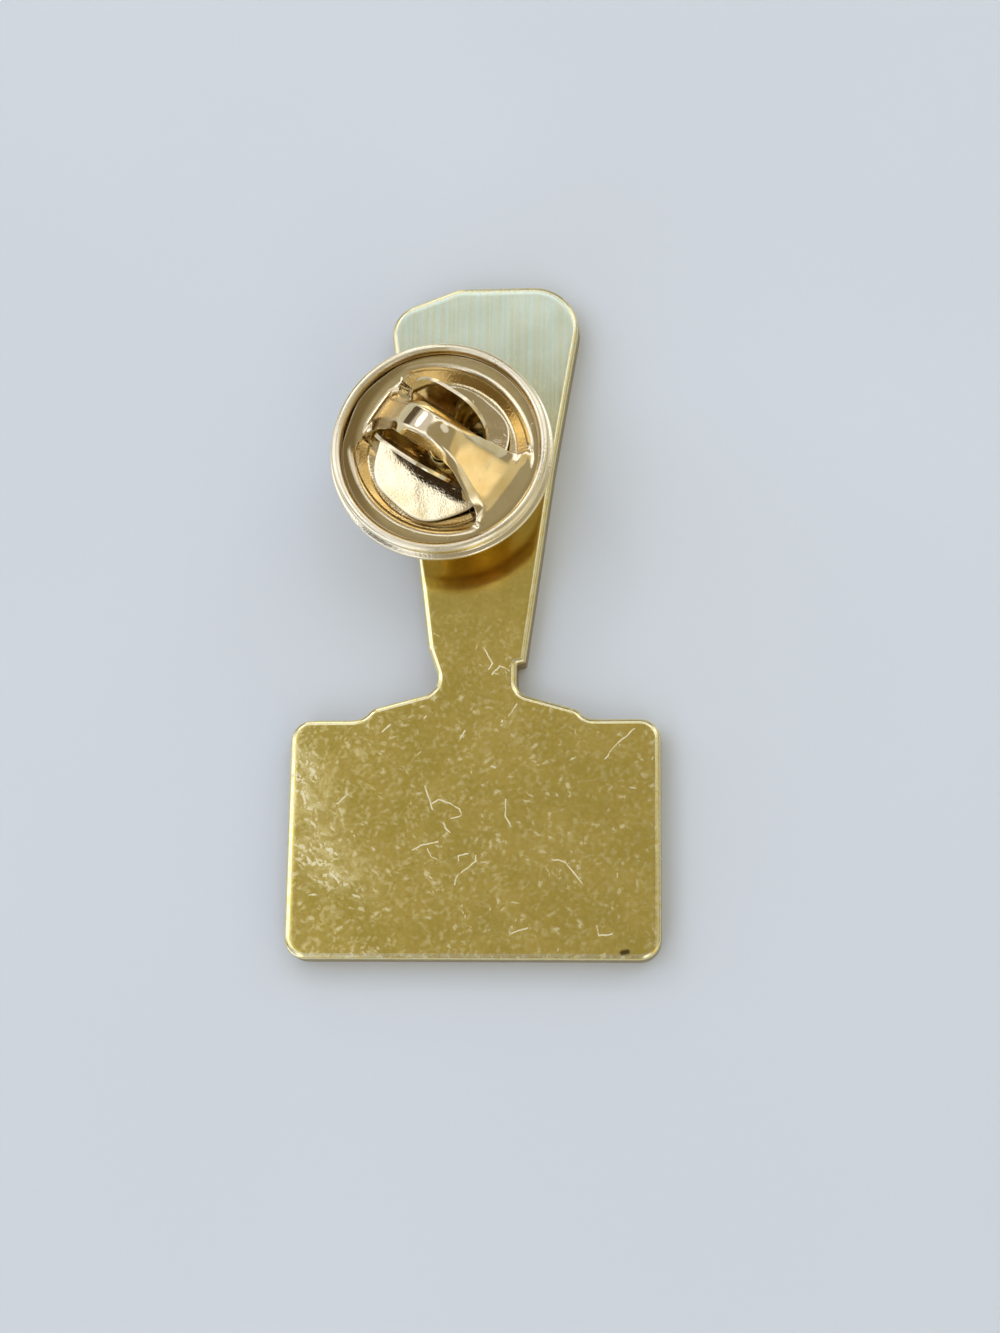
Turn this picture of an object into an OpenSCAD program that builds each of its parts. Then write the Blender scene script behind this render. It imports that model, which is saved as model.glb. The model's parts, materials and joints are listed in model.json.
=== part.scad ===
// Die-struck lapel pin, lying face down, with its butterfly clutch on the post.
// Origin: middle of the plate's outline on the front face. +Y runs from the body
// to the head, +Z runs out of the back, along the post.

/* [Plate] */
// Thickness of the struck plate
plate_t = 1.5; // [1.2:0.1:2]
// Width of the body
body_w = 19; // [17:0.5:24]
// Height of the body, from its lower edge to its upper corners
body_h = 12.3; // [10:0.1:16]
// Radius of the body's four corners
corner_r = 1.1; // [0.5:0.1:2]
// Length of the handle, from the body's upper edge to the end of the head
handle_l = 24.1; // [23.6:0.1:26]
// Rise of the sloped shoulders above the body's upper edge
shoulder_rise = 1.5; // [1.2:0.1:1.8]

/* [Post] */
// Place of the post to the left of the plate's middle line
post_left = 1.6; // [1.2:0.1:2]
// Height of the post above the body's upper edge
post_up = 13.65; // [12.5:0.05:15]
// Radius of the post
post_r = 0.55; // [0.5:0.05:0.6]
// Length of the post above the plate's back
post_l = 6.8; // [6.4:0.1:6.9]
// Radius of the soldered collar at the post's foot
collar_r = 1.3; // [1:0.1:1.8]

/* [Clutch] */
// Radius over the rolled rim
rim_r = 5.75; // [5.6:0.05:6]
// Radius of the round bead that closes the rim
bead_r = 0.28; // [0.2:0.02:0.3]
// Free height between the plate and the clutch, where the cloth goes
cloth_gap = 2.5; // [2.5:0.1:3]
// Thickness of the clutch's sheet metal
sheet_t = 0.25; // [0.2:0.01:0.28]
// Height of the strap's crest above the clutch's underside
crest_h = 4.8; // [4.7:0.1:5.2]
// Radius of the bend at the strap's crest
crest_r = 2.55; // [2.2:0.05:2.7]
// Slope of the strap's legs from the level, in degrees
leg_slope = 52; // [51:1:56]
// Distance of the windows' outer edge from the post's axis, at its middle
window_out = 4.22; // [4.1:0.02:4.3]
// Radius of the windows' outer edge, which is flatter than the rim
window_r = 4.95; // [4.6:0.05:5.2]
// Half the width of the strap at its waist
waist = 1; // [0.9:0.05:1.1]
// Angle of the strap across the plate, in degrees
strap_turn = -34; // [-45:1:45]

/* [Wings] */
// Height of the wings' tips above the clutch's underside
wing_h = 4.9; // [4.8:0.1:5.6]
// Lean of the wings away from the strap, in degrees
wing_lean = 14; // [13:1:18]
// Width of a wing near its tip
wing_w = 4.4; // [4:0.1:4.6]
// Radius of the wing's upper corners
wing_corner_r = 1.7; // [0.8:0.1:1.8]
// Clearance between a jaw and the post
jaw_gap = 0.07; // [0.05:0.01:0.09]

/* [Hidden] */
$fn = 64;

GOLD = [0.72, 0.62, 0.3];
PINK_GOLD = [0.83, 0.66, 0.38];

// Sizes that follow from the ones above
pin_l = body_h + handle_l;
body_top = body_h - pin_l / 2;
post_x = -post_left;
post_y = body_top + post_up;
clutch_z = plate_t + cloth_gap;
hole_r = post_r + 0.075;
floor_r = 3.2;
flange_z = 0.6;
seat_z = flange_z + sheet_t;
cap_gap = 0.04;
cap_r = rim_r - 0.32;
cap_low = seat_z + cap_gap;
cap_high = cap_low + 0.16;
bead_z = cap_low + sheet_t + cap_gap + bead_r;
heel_z = 0.45;
heel_r = 3;
wing_root = 1;
wing_t = 0.25;
overlap = 0.05;
foot_r = 0.3;
bend_steps = 12;

// The plate's outline, anticlockwise from the body's lower left corner
OUTLINE = [
    // x, y above the body's upper edge, corner radius
    [-body_w / 2, -body_h, corner_r],
    [body_w / 2, -body_h, corner_r],
    [body_w / 2, 0, corner_r],
    // right shoulder, neck and handle
    [5.8, 0, 0.4],
    [5.35, 0.5, 0.4],
    [2.08, shoulder_rise, 0.75],
    [2.08, 3.05, 0.1],
    [2.53, 3.15, 0.15],
    [3.95, 13.7, 0],
    // head
    [5.69, handle_l, 2.45],
    [-1.25, handle_l, 1.5],
    [-4.98, handle_l - 1.43, 1.65],
    // left handle, neck and shoulder
    [-2.47, 3.85, 0.8],
    [-1.66, shoulder_rise + 0.18, 0.9],
    [-5.38, 0.6, 0.4],
    [-5.95, 0, 0.6],
    [-body_w / 2, 0, corner_r],
];

// Half section of the post: radius, height above the plate's back
POST = [
    [0, -overlap],
    [collar_r, -overlap],
    [collar_r, 0.08],
    [post_r + 0.15, 0.3],
    [post_r, 0.5],
    [post_r, post_l - 1.75],
    [post_r - 0.13, post_l - 1.6],
    [post_r - 0.13, post_l - 1.25],
    [post_r, post_l - 1.1],
    [post_r, post_l - 0.8],
    [0.1, post_l],
    [0, post_l],
];

// Half section of the dish and its flange: radius, height above the underside
DISH = [
    [hole_r, 0],
    [floor_r - 0.1, 0],
    [floor_r + 0.15, 0.06],
    [rim_r - 0.8, flange_z - 0.08],
    [rim_r - 0.1, flange_z],
    [rim_r, flange_z + 0.1],
    [rim_r, seat_z],
    [rim_r - bead_r * 0.2, bead_z],
    [rim_r - bead_r, bead_z],
    [rim_r - sheet_t, cap_high + sheet_t / 2],
    [rim_r - sheet_t, seat_z],
    [rim_r - 0.85, seat_z],
    [floor_r + 0.1, 0.06 + sheet_t],
    [floor_r - 0.15, sheet_t],
    [hole_r, sheet_t],
];

// Half section of the cap's ring: radius, height above the underside
RING = [
    [window_out - 0.3, cap_high],
    [window_out + 0.15, cap_high],
    [cap_r - 0.3, cap_low],
    [cap_r, cap_low],
    [cap_r, cap_low + sheet_t],
    [cap_r - 0.3, cap_low + sheet_t],
    [window_out + 0.15, cap_high + sheet_t],
    [window_out - 0.3, cap_high + sheet_t],
];

// Points of an arc from one angle towards another, without its last point
function arc(middle, r, from, to) = [for (k = [0 : bend_steps - 1])
    let (a = from + (to - from) * k / bend_steps) middle + r * [cos(a), sin(a)]];

function unit(v) = v / norm(v);
function point(rows, i) = let (row = rows[(i + len(rows)) % len(rows)]) [row[0], row[1]];
function to_previous(rows, i) = unit(point(rows, i - 1) - point(rows, i));
function to_next(rows, i) = unit(point(rows, i + 1) - point(rows, i));

// Points of the round corner that replaces the sharp one in row i
function corner(rows, i) = let (
    r = rows[i][2],
    half = acos(to_previous(rows, i) * to_next(rows, i)) / 2,
    middle = point(rows, i) + unit(to_previous(rows, i) + to_next(rows, i)) * r / sin(half),
    first = point(rows, i) + to_previous(rows, i) * r / tan(half) - middle,
    last = point(rows, i) + to_next(rows, i) * r / tan(half) - middle,
    start = atan2(first[1], first[0]),
    sweep = atan2(cross(first, last), first * last)
) concat(arc(middle, r, start, start + sweep), [middle + last]);

// Outline through rows of x, y and corner radius
function rounded(rows) = [for (i = [0 : len(rows) - 1])
    each rows[i][2] == 0 ? [point(rows, i)] : corner(rows, i)];

// Puts a shape made round the post's axis in its place on the plate
module on_post(height) {
    translate([post_x, post_y, height]) children();
}

// Puts a shape of the clutch in its place, with the strap along its own X
module in_clutch() {
    on_post(clutch_z) rotate([0, 0, strap_turn]) children();
}

// Height of the sharp corner that a bend of radius r below it rounds to the crest
function apex(crest, r) = crest + r * (1 / cos(leg_slope) - 1);

// Side view of the arched strap, as a band of the sheet's thickness
module strap_side() {
    foot = (apex(crest_h, crest_r) - cap_high - sheet_t) / tan(leg_slope);
    inner_crest = crest_h - sheet_t;
    inner_r = crest_r - sheet_t;
    below = -1;
    inner_foot = (apex(inner_crest, inner_r) - below) / tan(leg_slope);
    difference() {
        polygon(rounded([
            [-rim_r, cap_high, 0],
            [rim_r, cap_high, 0],
            [rim_r, cap_high + sheet_t, 0],
            [foot, cap_high + sheet_t, foot_r],
            [0, apex(crest_h, crest_r), crest_r],
            [-foot, cap_high + sheet_t, foot_r],
            [-rim_r, cap_high + sheet_t, 0],
        ]));
        polygon(rounded([
            [-inner_foot, below, 0],
            [inner_foot, below, 0],
            [0, apex(inner_crest, inner_r), inner_r],
        ]));
    }
}

// Plan of one D-shaped window, on the +Y side of the strap
module window() {
    arc_y = window_out - window_r;
    edge = waist + 0.3;
    end_r = 0.8;
    end_y = edge + end_r;
    end_x = sqrt(pow(window_r - end_r, 2) - pow(end_y - arc_y, 2));
    end_a = atan2(end_y - arc_y, end_x);
    bow_r = (pow(end_x, 2) + pow(edge - waist, 2)) / (2 * (edge - waist));
    bow_a = asin(end_x / bow_r);
    polygon(concat(
        arc([0, arc_y], window_r, end_a, 180 - end_a),
        arc([-end_x, end_y], end_r, 180 - end_a, 270),
        arc([0, waist + bow_r], bow_r, 270 - bow_a, 270 + bow_a),
        arc([end_x, end_y], end_r, -90, end_a)
    ));
}

// The struck plate with its soldered post and collar, one solid
module plate() {
    color(GOLD) {
        linear_extrude(height = plate_t) translate([0, body_top]) polygon(rounded(OUTLINE));
        on_post(plate_t) rotate_extrude() polygon(POST);
    }
}

// The dish, with the flange and the bead that are rolled round the cap's edge
module clutch_base() {
    color(PINK_GOLD) in_clutch() rotate_extrude() {
        polygon(DISH);
        translate([rim_r - bead_r * 1.2, bead_z]) circle(r = bead_r);
    }
}

// The cap: a ring under the rolled rim, and an arched strap between two windows
module clutch_cap() {
    color(PINK_GOLD) in_clutch() difference() {
        union() {
            rotate_extrude() polygon(RING);
            intersection() {
                rotate([90, 0, 0]) linear_extrude(height = rim_r * 2, center = true) strap_side();
                cylinder(r = window_out - 0.02, h = crest_h * 2);
            }
        }
        for (turn = [0, 180]) rotate([0, 0, turn]) translate([0, 0, -overlap])
            linear_extrude(height = crest_h * 2) window();
    }
}

// One wing on the +Y side: a heel on the dish's floor, a jaw at the post, and the leaning blade
module wing() {
    blade_l = (wing_h - heel_z) / cos(wing_lean);
    blade_foot = 0.06;
    foot_w = wing_w + 0.5;
    jaw_edge = 0.35;
    difference() {
        intersection() {
            translate([0, 0, heel_z]) cylinder(r = heel_r, h = wing_t);
            translate([-heel_r, jaw_edge, 0]) cube([heel_r * 2, heel_r, wing_h]);
        }
        translate([0, 0, -overlap]) cylinder(r = post_r + jaw_gap, h = wing_h);
    }
    translate([0, wing_root, heel_z]) rotate([90 - wing_lean, 0, 0])
        translate([0, 0, -wing_t / 2]) linear_extrude(height = wing_t) polygon(rounded([
            [-foot_w / 2, blade_foot, 0],
            [foot_w / 2, blade_foot, 0],
            [wing_w / 2, blade_l, wing_corner_r],
            [-wing_w / 2, blade_l, wing_corner_r],
        ]));
}

module right_wing() {
    color(PINK_GOLD) in_clutch() wing();
}

module left_wing() {
    color(PINK_GOLD) in_clutch() rotate([0, 0, 180]) wing();
}

plate();
clutch_base();
clutch_cap();
left_wing();
right_wing();
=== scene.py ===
# %% [markdown]
# # A lapel pin lying on its face
# This lesson dresses a small gold-plated lapel pin with the butterfly clutch still on its post.
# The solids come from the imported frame, which gives the driving sizes. Each cell below makes one
# piece or one finish, says what it is on the real object, and prints what it made.

# %% Load the frame
import json
import math

import bmesh
import bpy
from mathutils import Matrix, Vector


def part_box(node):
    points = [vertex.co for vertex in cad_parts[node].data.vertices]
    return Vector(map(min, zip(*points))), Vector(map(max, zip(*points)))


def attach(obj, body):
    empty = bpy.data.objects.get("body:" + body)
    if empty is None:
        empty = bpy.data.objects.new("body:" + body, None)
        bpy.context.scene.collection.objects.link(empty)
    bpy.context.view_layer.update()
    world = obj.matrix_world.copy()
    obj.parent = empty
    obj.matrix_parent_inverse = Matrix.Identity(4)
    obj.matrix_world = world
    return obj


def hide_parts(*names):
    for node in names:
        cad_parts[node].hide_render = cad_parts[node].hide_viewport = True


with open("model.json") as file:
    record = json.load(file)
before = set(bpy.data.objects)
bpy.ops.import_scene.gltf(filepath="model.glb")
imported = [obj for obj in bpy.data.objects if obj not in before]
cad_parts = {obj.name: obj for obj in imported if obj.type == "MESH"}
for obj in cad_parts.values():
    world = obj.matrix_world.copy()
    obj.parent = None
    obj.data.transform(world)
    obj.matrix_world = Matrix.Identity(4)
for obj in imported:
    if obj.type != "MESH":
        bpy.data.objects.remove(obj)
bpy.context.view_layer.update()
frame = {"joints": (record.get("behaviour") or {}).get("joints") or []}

MM = 0.001

# %% [markdown]
# ## Places and sizes
# The pin is made in millimetres, as a maker would measure it, and scaled to metres when a mesh is
# finished. Whatever the frame knows is read from it: the plate's box gives its width and length,
# the box of the clutch's dish gives the post's axis, and a wing's hinge gives the strap's run.

# %% Read the driving sizes from the frame
def box_mm(node):
    """Lowest and highest corner of a node, in millimetres."""
    low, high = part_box(node)
    return low / MM, high / MM


plate_low, plate_high = box_mm("plate")
dish_low, dish_high = box_mm("clutch_base")
cap_low, cap_high = box_mm("clutch_cap")
wing_tip = box_mm("right_wing")[1].z - dish_low.z

post_x = (dish_low.x + dish_high.x) / 2
post_y = (dish_low.y + dish_high.y) / 2
post_tip = plate_high.z
clutch_z = dish_low.z
rim_r = (dish_high.x - dish_low.x) / 2
crest_z = cap_high.z - clutch_z

hinge = next(joint for joint in frame["joints"] if joint["name"] == "right_wing_pinch")
strap_turn = math.atan2(hinge["axis"][1], hinge["axis"][0])

PLATE_PLACE = Matrix.Scale(MM, 4)
CLUTCH_PLACE = (
    PLATE_PLACE
    @ Matrix.Translation((post_x, post_y, clutch_z))
    @ Matrix.Rotation(strap_turn, 4, "Z")
)
print(f"post at {post_x:.2f}, {post_y:.2f}, tip {post_tip:.2f} high, rim radius {rim_r:.2f} mm")
print(f"strap turned {math.degrees(strap_turn):.1f} degrees, crest {crest_z:.2f} mm above the dish")

# %% [markdown]
# ## Round corners by rule
# Stamped and struck metal has no sharp corner in plan, so every outline here is a short table of
# corners with a radius each. One helper turns such a table into points. It can also move the
# outline inwards while each corner keeps its number of points, which lets a wall, a rounded edge
# and a flat face be stacked ring by ring, with nothing but four-sided faces between them.

# %% Outline helpers
CORNER_STEPS = 10
LEAST_RADIUS = 0.02


def arc(middle, radius, start, end, steps):
    """Points of an arc, angles in degrees, both ends included."""
    angles = [math.radians(start + (end - start) * k / steps) for k in range(steps + 1)]
    return [(middle[0] + radius * math.cos(a), middle[1] + radius * math.sin(a)) for a in angles]


def rounded(rows, inset=0.0):
    """Outline through rows of x, y and corner radius, anticlockwise, moved inwards by inset."""
    points = []
    for i, (x, y, radius) in enumerate(rows):
        here = Vector((x, y))
        along_in = (here - Vector(rows[i - 1][:2])).normalized()
        along_out = (Vector(rows[(i + 1) % len(rows)][:2]) - here).normalized()
        side_in = Vector((-along_in.y, along_in.x))
        side_out = Vector((-along_out.y, along_out.x))
        here += inset * (side_in + side_out) / (1 + side_in.dot(side_out))
        cross = along_in.x * along_out.y - along_in.y * along_out.x
        turn = math.atan2(cross, along_in.dot(along_out))
        if radius == 0:
            points.append(here)
            continue
        radius = max(radius - inset, LEAST_RADIUS) if turn > 0 else radius + inset
        start = here - along_in * radius * math.tan(abs(turn) / 2)
        middle = start + side_in * math.copysign(radius, turn)
        for k in range(CORNER_STEPS + 1):
            points.append(middle + Matrix.Rotation(turn * k / CORNER_STEPS, 2) @ (start - middle))
    return [(p[0], p[1]) for p in points]


def add_ring(bm, points, z):
    """A row of vertices at one height."""
    return [bm.verts.new((p[0], p[1], z)) for p in points]


def join_rings(bm, lower, upper, closed=True):
    """Four-sided faces between two rows with the same number of vertices."""
    last = len(lower) if closed else len(lower) - 1
    for i in range(last):
        j = (i + 1) % len(lower)
        bm.faces.new((lower[i], lower[j], upper[j], upper[i]))


square = rounded([(-1, -1, 0.5), (1, -1, 0.5), (1, 1, 0.5), (-1, 1, 0.5)])
print("a square of side 2 with corners of 0.5 has", len(square), "points")

# %% [markdown]
# ## From a mesh in progress to a piece
# Every piece goes through the same last steps: it is scaled to metres in its place, its faces are
# turned outwards, and it is shaded smooth except where two faces meet at a sharp angle. Plating
# rubs through first where metal turns outwards, so each vertex also keeps how sharply it turns, for
# the finish to use as wear, and on the plate also for a painted highlight along its rolled edge. Then
# the piece rides on its body and stands for its solid.

# %% Finish a piece
SHARP = math.radians(38)


def finish_mesh(name, bm, place):
    """A mesh object in metres from a bmesh in millimetres."""
    bm.transform(place)
    bmesh.ops.recalc_face_normals(bm, faces=bm.faces)
    mesh = bpy.data.meshes.new(name)
    bm.to_mesh(mesh)
    bm.free()
    mesh.shade_smooth()
    mesh.set_sharp_from_angle(angle=SHARP)
    piece = bpy.data.objects.new(name, mesh)
    bpy.context.scene.collection.objects.link(piece)
    return piece


def apply_modifiers(piece):
    """Replaces a piece's mesh by what its modifiers make of it."""
    evaluated = piece.evaluated_get(bpy.context.evaluated_depsgraph_get())
    mesh = bpy.data.meshes.new_from_object(evaluated)
    piece.modifiers.clear()
    piece.data = mesh
    mesh.shade_smooth()
    mesh.set_sharp_from_angle(angle=SHARP)


FULL_WEAR = 3.0
LEAST_APART = 0.01


def mark_edges(piece):
    """Writes at each vertex how sharply the metal turns outwards, as a share of FULL_WEAR per mm."""
    bm = bmesh.new()
    bm.from_mesh(piece.data)
    turns = [0.0] * len(bm.verts)
    for edge in bm.edges:
        middles = [face.calc_center_median() for face in edge.link_faces]
        if len(middles) == 2:
            apart = max((middles[0] - middles[1]).length / MM, LEAST_APART)
            turn = edge.calc_face_angle_signed() / apart
            for vert in edge.verts:
                turns[vert.index] = max(turns[vert.index], turn)
    bm.free()
    marks = piece.data.attributes.new("edge", "FLOAT", "POINT")
    marks.data.foreach_set("value", [min(turn / FULL_WEAR, 1) for turn in turns])
    return sum(turn > FULL_WEAR / 2 for turn in turns)


def stand_in(piece, node, body):
    """The piece rides on a body, replaces a solid and has its edges marked for the finish."""
    wear_and_sheen = mark_edges(piece)
    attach(piece, body)
    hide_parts(node)
    bpy.context.view_layer.update()
    low, high = (Vector(corner) / MM for corner in (piece.bound_box[0], piece.bound_box[6]))
    faces = len(piece.data.polygons)
    print(f"{piece.name}: {faces} faces, from {low.to_tuple(2)} to {high.to_tuple(2)} mm")
    print(f"  {wear_and_sheen} of {len(piece.data.vertices)} vertices lie on a rubbed edge")


# %% [markdown]
# ## The struck plate
# The plate is blanked from sheet, struck and tumbled. Its front edge stays crisp, the wall is
# upright, and the edge of the back is rolled over, which is what draws the bright line round it.
# A bevel modifier would do for the corners, but it breaks down where the neck's corners are close
# together. Stacked insets of one outline keep the roll even all the way round, and a last narrow
# strip lies flat, so the smooth shading of the roll ends there and the back stays a plane. The
# strike squeezes the body a little past its drawing, so its sides and shoulders stand out by SPREAD.

# %% Plate outline and edge
SPREAD = 0.14
BODY_H = 12.3
half_w = plate_high.x + SPREAD
top = plate_high.y
body_top = plate_low.y + BODY_H + SPREAD
body_bottom = plate_low.y
plate_t = 1.5

OUTLINE = [
    # x, y, corner radius
    (-half_w, body_bottom, 1.1),
    (half_w, body_bottom, 1.1),
    (half_w, body_top, 1.1),
    # right shoulder, neck and handle
    (5.8, body_top, 0.9),
    (5.35, body_top + 0.5, 0.9),
    (2.15, body_top + 1.4, 0.75),
    (2.15, body_top + 2.95, 0.1),
    (2.6, body_top + 3.05, 0.15),
    (4.02, body_top + 13.6, 0),
    # head
    (5.69, top, 2.45),
    (-1.25, top, 1.5),
    (-4.98, top - 1.43, 1.65),
    # left handle, neck and shoulder
    (-2.49, body_top + 3.75, 0.8),
    (-1.72, body_top + 1.58, 0.9),
    (-5.38, body_top + 0.6, 1.0),
    (-5.95, body_top, 1.1),
    (-half_w, body_top, 1.1),
]
FRONT_ROUND = 0.06
FRONT_STEPS = 4
BACK_ROLL = 0.3
BACK_DROP = 0.24
ROLL_STEPS = 8
FLAT_STRIP = 0.2


def quarter(k, steps):
    """Share across and share up of a quarter round, from the wall to the face."""
    angle = math.pi / 2 * k / steps
    return 1 - math.cos(angle), math.sin(angle)


edge_rings = []
for k in range(FRONT_STEPS, -1, -1):
    across, up = quarter(k, FRONT_STEPS)
    edge_rings.append((FRONT_ROUND * across, FRONT_ROUND * (1 - up)))
for k in range(ROLL_STEPS + 1):
    across, up = quarter(k, ROLL_STEPS)
    edge_rings.append((BACK_ROLL * across, plate_t - BACK_DROP * (1 - up)))
edge_rings.append((BACK_ROLL + FLAT_STRIP, plate_t))
print("plate edge has", len(edge_rings), "rings of", len(rounded(OUTLINE)), "points")

# %% [markdown]
# ## The post and its solder
# The post is a plain pin with a groove near its tip, where the clutch's jaws snap in. It is
# soldered upright on the back, and the solder leaves a low, slightly uneven collar round its foot.
# It is turned on the same vertices as the plate's face, so plate, solder and post are one skin.

# %% Build the plate
POST_SIDES = 72
POST_R = 0.55
COLLAR_R = 1.3
post_l = post_tip - plate_t
POST_ROWS = [
    # radius, height above the plate's back
    (COLLAR_R, 0),
    (COLLAR_R - 0.1, 0.06),
    (COLLAR_R - 0.3, 0.14),
    (POST_R + 0.28, 0.22),
    (POST_R + 0.12, 0.34),
    (POST_R + 0.03, 0.48),
    (POST_R, 0.62),
    (POST_R, post_l - 1.78),
    (POST_R - 0.02, post_l - 1.72),
    (POST_R - 0.12, post_l - 1.6),
    (POST_R - 0.13, post_l - 1.55),
    (POST_R - 0.13, post_l - 1.3),
    (POST_R - 0.12, post_l - 1.25),
    (POST_R - 0.02, post_l - 1.13),
    (POST_R, post_l - 1.07),
    (POST_R, post_l - 0.84),
    (POST_R - 0.03, post_l - 0.76),
    (0.16, post_l - 0.1),
    (0.1, post_l - 0.03),
    (0.04, post_l),
]
SOLDER_WAVES = [
    # waves round the post, share of the radius, start angle
    (3, 0.05, 1),
    (5, 0.035, 2),
    (11, 0.02, 0),
]
SOLDER_HIGH = 0.4


def solder_spread(angle, height):
    """How far the solder runs out at an angle, fading away up the post."""
    uneven = sum(size * math.sin(count * angle + start) for count, size, start in SOLDER_WAVES)
    return 1 + uneven * max(0, 1 - height / SOLDER_HIGH)


def post_ring(bm, radius, height):
    """One ring of the post."""
    ring = []
    for k in range(POST_SIDES):
        angle = 2 * math.pi * k / POST_SIDES
        r = radius * solder_spread(angle, height)
        spot = (post_x + r * math.cos(angle), post_y + r * math.sin(angle), plate_t + height)
        ring.append(bm.verts.new(spot))
    return ring


def build_plate():
    """Plate, solder and post as one closed mesh."""
    bm = bmesh.new()
    rings = [add_ring(bm, rounded(OUTLINE, inset), z) for inset, z in edge_rings]
    for lower, upper in zip(rings, rings[1:]):
        join_rings(bm, lower, upper)
    bm.faces.new(list(reversed(rings[0])))
    below = post_ring(bm, COLLAR_R + FLAT_STRIP, 0)
    loops = [bm.edges.get((ring[i - 1], ring[i])) or bm.edges.new((ring[i - 1], ring[i]))
             for ring in (rings[-1], below) for i in range(len(ring))]
    bmesh.ops.triangle_fill(bm, use_beauty=True, use_dissolve=False, edges=loops)
    for radius, height in POST_ROWS:
        above = post_ring(bm, radius, height)
        join_rings(bm, below, above)
        below = above
    bm.faces.new(below)
    return finish_mesh("struck_plate", bm, PLATE_PLACE)


plate = build_plate()
stand_in(plate, "plate", "badge")

# %% [markdown]
# ## The dish of the clutch
# The lower half of a butterfly clutch is a shallow stamped dish. Its flange stands up round the
# cap and is rolled in over the cap's edge as a round bead, so the two halves never come apart.
# It is round all over, so a half section spun about the post is the natural way to make it. The
# section is closed, with the sheet's own thickness, so it holds from every side.

# %% Build the dish
SPIN_SIDES = 180
SHEET_T = 0.25
BEAD_R = 0.28
BEAD_IN = 1.2 * BEAD_R
BEAD_FROM = -48
BEAD_TO = 238
BEAD_STEPS = 26
LIP = 0.1
bead_middle = (rim_r - BEAD_IN, dish_high.z - clutch_z - BEAD_R)

DISH_ROWS = [
    # radius, height above the underside, corner radius
    (0.625, 0, 0.08),
    (1.2, 0, 1.5),
    (3.95, 0.1, 0.5),
    (4.95, 0.56, 0.5),
    (rim_r + LIP, 0.58, 0.11),
    (rim_r + LIP, 0.85, 0.1),
    (rim_r - 0.17, 0.93, 0.06),
    *((r, z, 0) for r, z in arc(bead_middle, BEAD_R, BEAD_FROM, BEAD_TO, BEAD_STEPS)),
    (rim_r - SHEET_T, 1.16, 0),
    (rim_r - SHEET_T, 0.83, 0.12),
    (4.9, 0.83, 0.4),
    (3.9, SHEET_T + 0.1, 0.5),
    (1.2, SHEET_T, 1.5),
    (0.625, SHEET_T, 0.08),
]


def spin(bm, section):
    """A closed half section of radius and height, turned once round the post's axis."""
    rings = []
    for k in range(SPIN_SIDES):
        angle = 2 * math.pi * k / SPIN_SIDES
        rings.append([bm.verts.new((r * math.cos(angle), r * math.sin(angle), z)) for r, z in section])
    for k in range(SPIN_SIDES):
        join_rings(bm, rings[k - 1], rings[k])


def build_dish():
    """Dish, flange and rolled bead as one closed skin."""
    bm = bmesh.new()
    spin(bm, rounded(DISH_ROWS))
    return finish_mesh("clutch_dish", bm, CLUTCH_PLACE)


dish = build_dish()
stand_in(dish, "clutch_base", "clutch")

# %% [markdown]
# ## The cap with its arched strap
# The cap starts as a flat ring. Two D-shaped windows are cut, and the metal left between them is
# drawn up into an arch that guards the post's tip. Drawing leaves three marks that a straight
# extrusion lacks: the strap is crowned across, its cut edges curl down, and its feet run into the
# ring with a soft bend. The press never pulls evenly either: the right foot is drawn out wider than
# the left. So the cap is a sheet of quads whose height is worked out from its plan, and a solidify
# modifier gives the sheet's thickness, with a small bevel for the sheared edges. One weakness is
# left: where the left foot bends sharply, the even thickness draws two corners out into thin points,
# which reach below the dish and show from low down. A softer bend there would mend it.

# %% Plan of the cap
CAP_R = rim_r - 0.32
WINDOW_OUT = 4.22
WINDOW_R = 4.95
WAIST = 1.0
END_R = 0.8
END_Y = 2.1
FAR_Y = WINDOW_OUT - WINDOW_R
END_X = math.sqrt((WINDOW_R - END_R) ** 2 - (END_Y - FAR_Y) ** 2)
FAR_A = math.degrees(math.atan2(END_Y - FAR_Y, END_X))
BOW_RISE = END_Y - WAIST
BOW_R = (END_X ** 2 + BOW_RISE ** 2 - END_R ** 2) / (2 * (BOW_RISE - END_R))
BOW_A = math.degrees(math.asin(END_X / (BOW_R - END_R)))
BOW_STEPS = 84
NEAR_END_STEPS = 14
FAR_STEPS = 70
FAR_END_STEPS = 8


def window_near_edge():
    """The strap's edge of the window on the +Y side, from its left end to its right end."""
    left = arc((-END_X, END_Y), END_R, 180, 270 - BOW_A, NEAR_END_STEPS)
    bow = arc((0, WAIST + BOW_R), BOW_R, 270 - BOW_A, 270 + BOW_A, BOW_STEPS)
    right = arc((END_X, END_Y), END_R, BOW_A - 90, 0, NEAR_END_STEPS)
    return left + bow[1:-1] + right


def window_far_edge():
    """The ring's edge of the window on the +Y side, from its right end to its left end."""
    right = arc((END_X, END_Y), END_R, 0, FAR_A, FAR_END_STEPS)
    far = arc((0, FAR_Y), WINDOW_R, FAR_A, 180 - FAR_A, FAR_STEPS)
    left = arc((-END_X, END_Y), END_R, 180 - FAR_A, 180, FAR_END_STEPS)
    return right + far[1:-1] + left


print(f"window {2 * (END_X + END_R):.2f} mm long along the strap, bow radius {BOW_R:.1f} mm")

# %% Height of the cap
RING_RISE = 0.16
RING_LOW = cap_low.z - clutch_z + SHEET_T
RING_HIGH = RING_LOW + RING_RISE
RING_DIP = (5.12, 5.22)
CREST_R = 2.55
LEG = math.radians(52)
CROWN = 0.05
CURL = 0.42
CURL_FROM = 0.6
CURL_SOFT = 0.05
LEFT_FOOT = 0.12
RIGHT_FOOT = 1.1
DIE_ROLL = 0.16
DIE_ROLL_WIDTH = 0.4
STRAP_SIDE = 1.8
STRAP_SIDE_FADE = 0.9
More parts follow.
